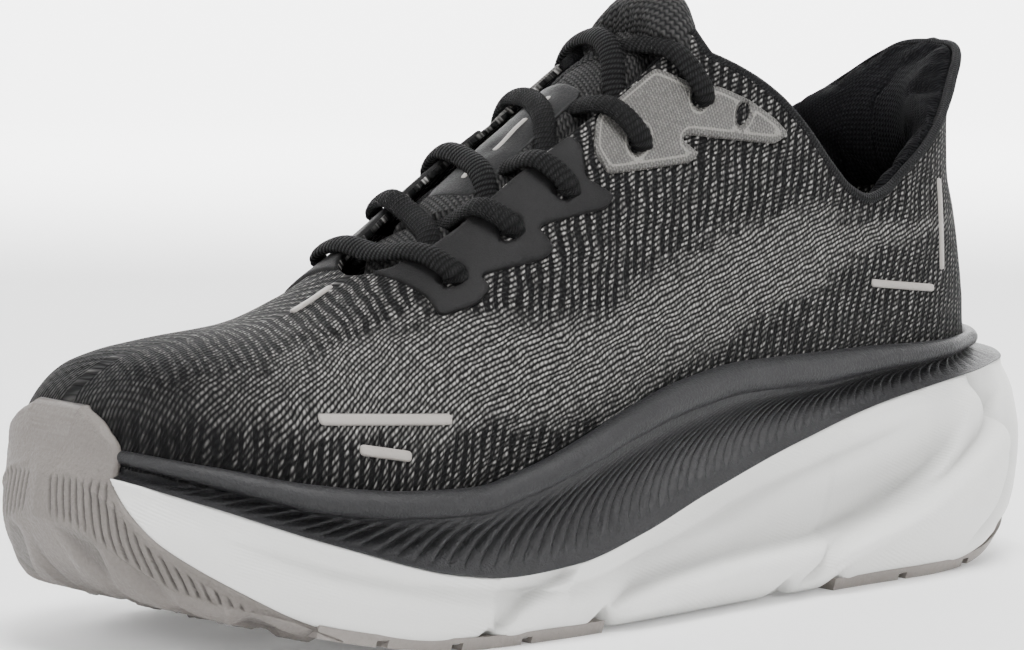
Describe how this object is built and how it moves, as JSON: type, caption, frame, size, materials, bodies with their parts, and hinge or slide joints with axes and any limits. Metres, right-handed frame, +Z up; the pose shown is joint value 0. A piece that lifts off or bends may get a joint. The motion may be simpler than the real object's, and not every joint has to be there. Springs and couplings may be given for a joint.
{
  "type": "running shoe",
  "caption": "Cushioned low-cut running shoe with a knitted upper, laced throat, padded collar and thick rockered midsole.",
  "frame": {"origin": "on the ground plane, at the middle of the shoe's outer box", "axes": "-Y points to the toe and +Y to the heel, +X to the outer (lateral) side of this left shoe, +Z up"},
  "size_m": [0.1135, 0.2994, 0.1565],
  "materials": {
    "outsole_rubber": "matte moulded rubber, slightly warm grey",
    "midsole_foam": "matte off-white moulded foam",
    "frame_foam": "satin black moulded foam",
    "knit": "black and grey engineered knit",
    "board": "non-woven insole board",
    "sock_textile": "brushed black textile over soft foam",
    "stiffener": "matte moulded board",
    "padding": "open-cell soft foam",
    "lining": "fine black lining textile",
    "film": "smooth matte black overlay film",
    "reflective": "grey reflective woven overlay",
    "trim": "pale grey raised transfer",
    "tongue_textile": "dark grey padded knit",
    "label": "smooth black patch",
    "cord": "black ribbed woven cord"
  },
  "bodies": {
    "shoe": {"outsole_toe": "outsole_rubber", "outsole_forefoot_lateral": "outsole_rubber", "outsole_forefoot_medial": "outsole_rubber", "outsole_forefoot_center": "outsole_rubber", "outsole_heel_lateral": "outsole_rubber", "outsole_heel_medial": "outsole_rubber", "midsole": "midsole_foam", "midsole_frame": "frame_foam", "strobel_board": "board", "upper_shell": "knit", "toe_puff": "stiffener", "heel_counter": "stiffener", "collar_foam": "padding", "collar_lining": "lining", "collar_binding": "lining", "eyestay_lateral_front": "film", "eyestay_medial_front": "film", "eyestay_lateral_top": "reflective", "eyestay_medial_top": "reflective", "forefoot_marks": "trim", "heel_marks": "trim", "vamp_mark": "trim", "lace": "cord"},
    "tongue": {"tongue": "tongue_textile", "tongue_top": "tongue_textile", "tongue_label": "label"},
    "sockliner": {"sockliner": "sock_textile"}
  },
  "joints": [
    {"name": "tongue_flex", "type": "hinge", "parent": "shoe", "child": "tongue", "pos_m": [0, -0.0735, 0.069], "axis": [-1, 0, 0], "range_deg": [0, 8], "stiffness_Nm_per_rad": 0.6},
    {"name": "sockliner_lift", "type": "hinge", "parent": "shoe", "child": "sockliner", "pos_m": [0, -0.138, 0.0315], "axis": [1, 0, 0], "range_deg": [0, 4]}
  ]
}
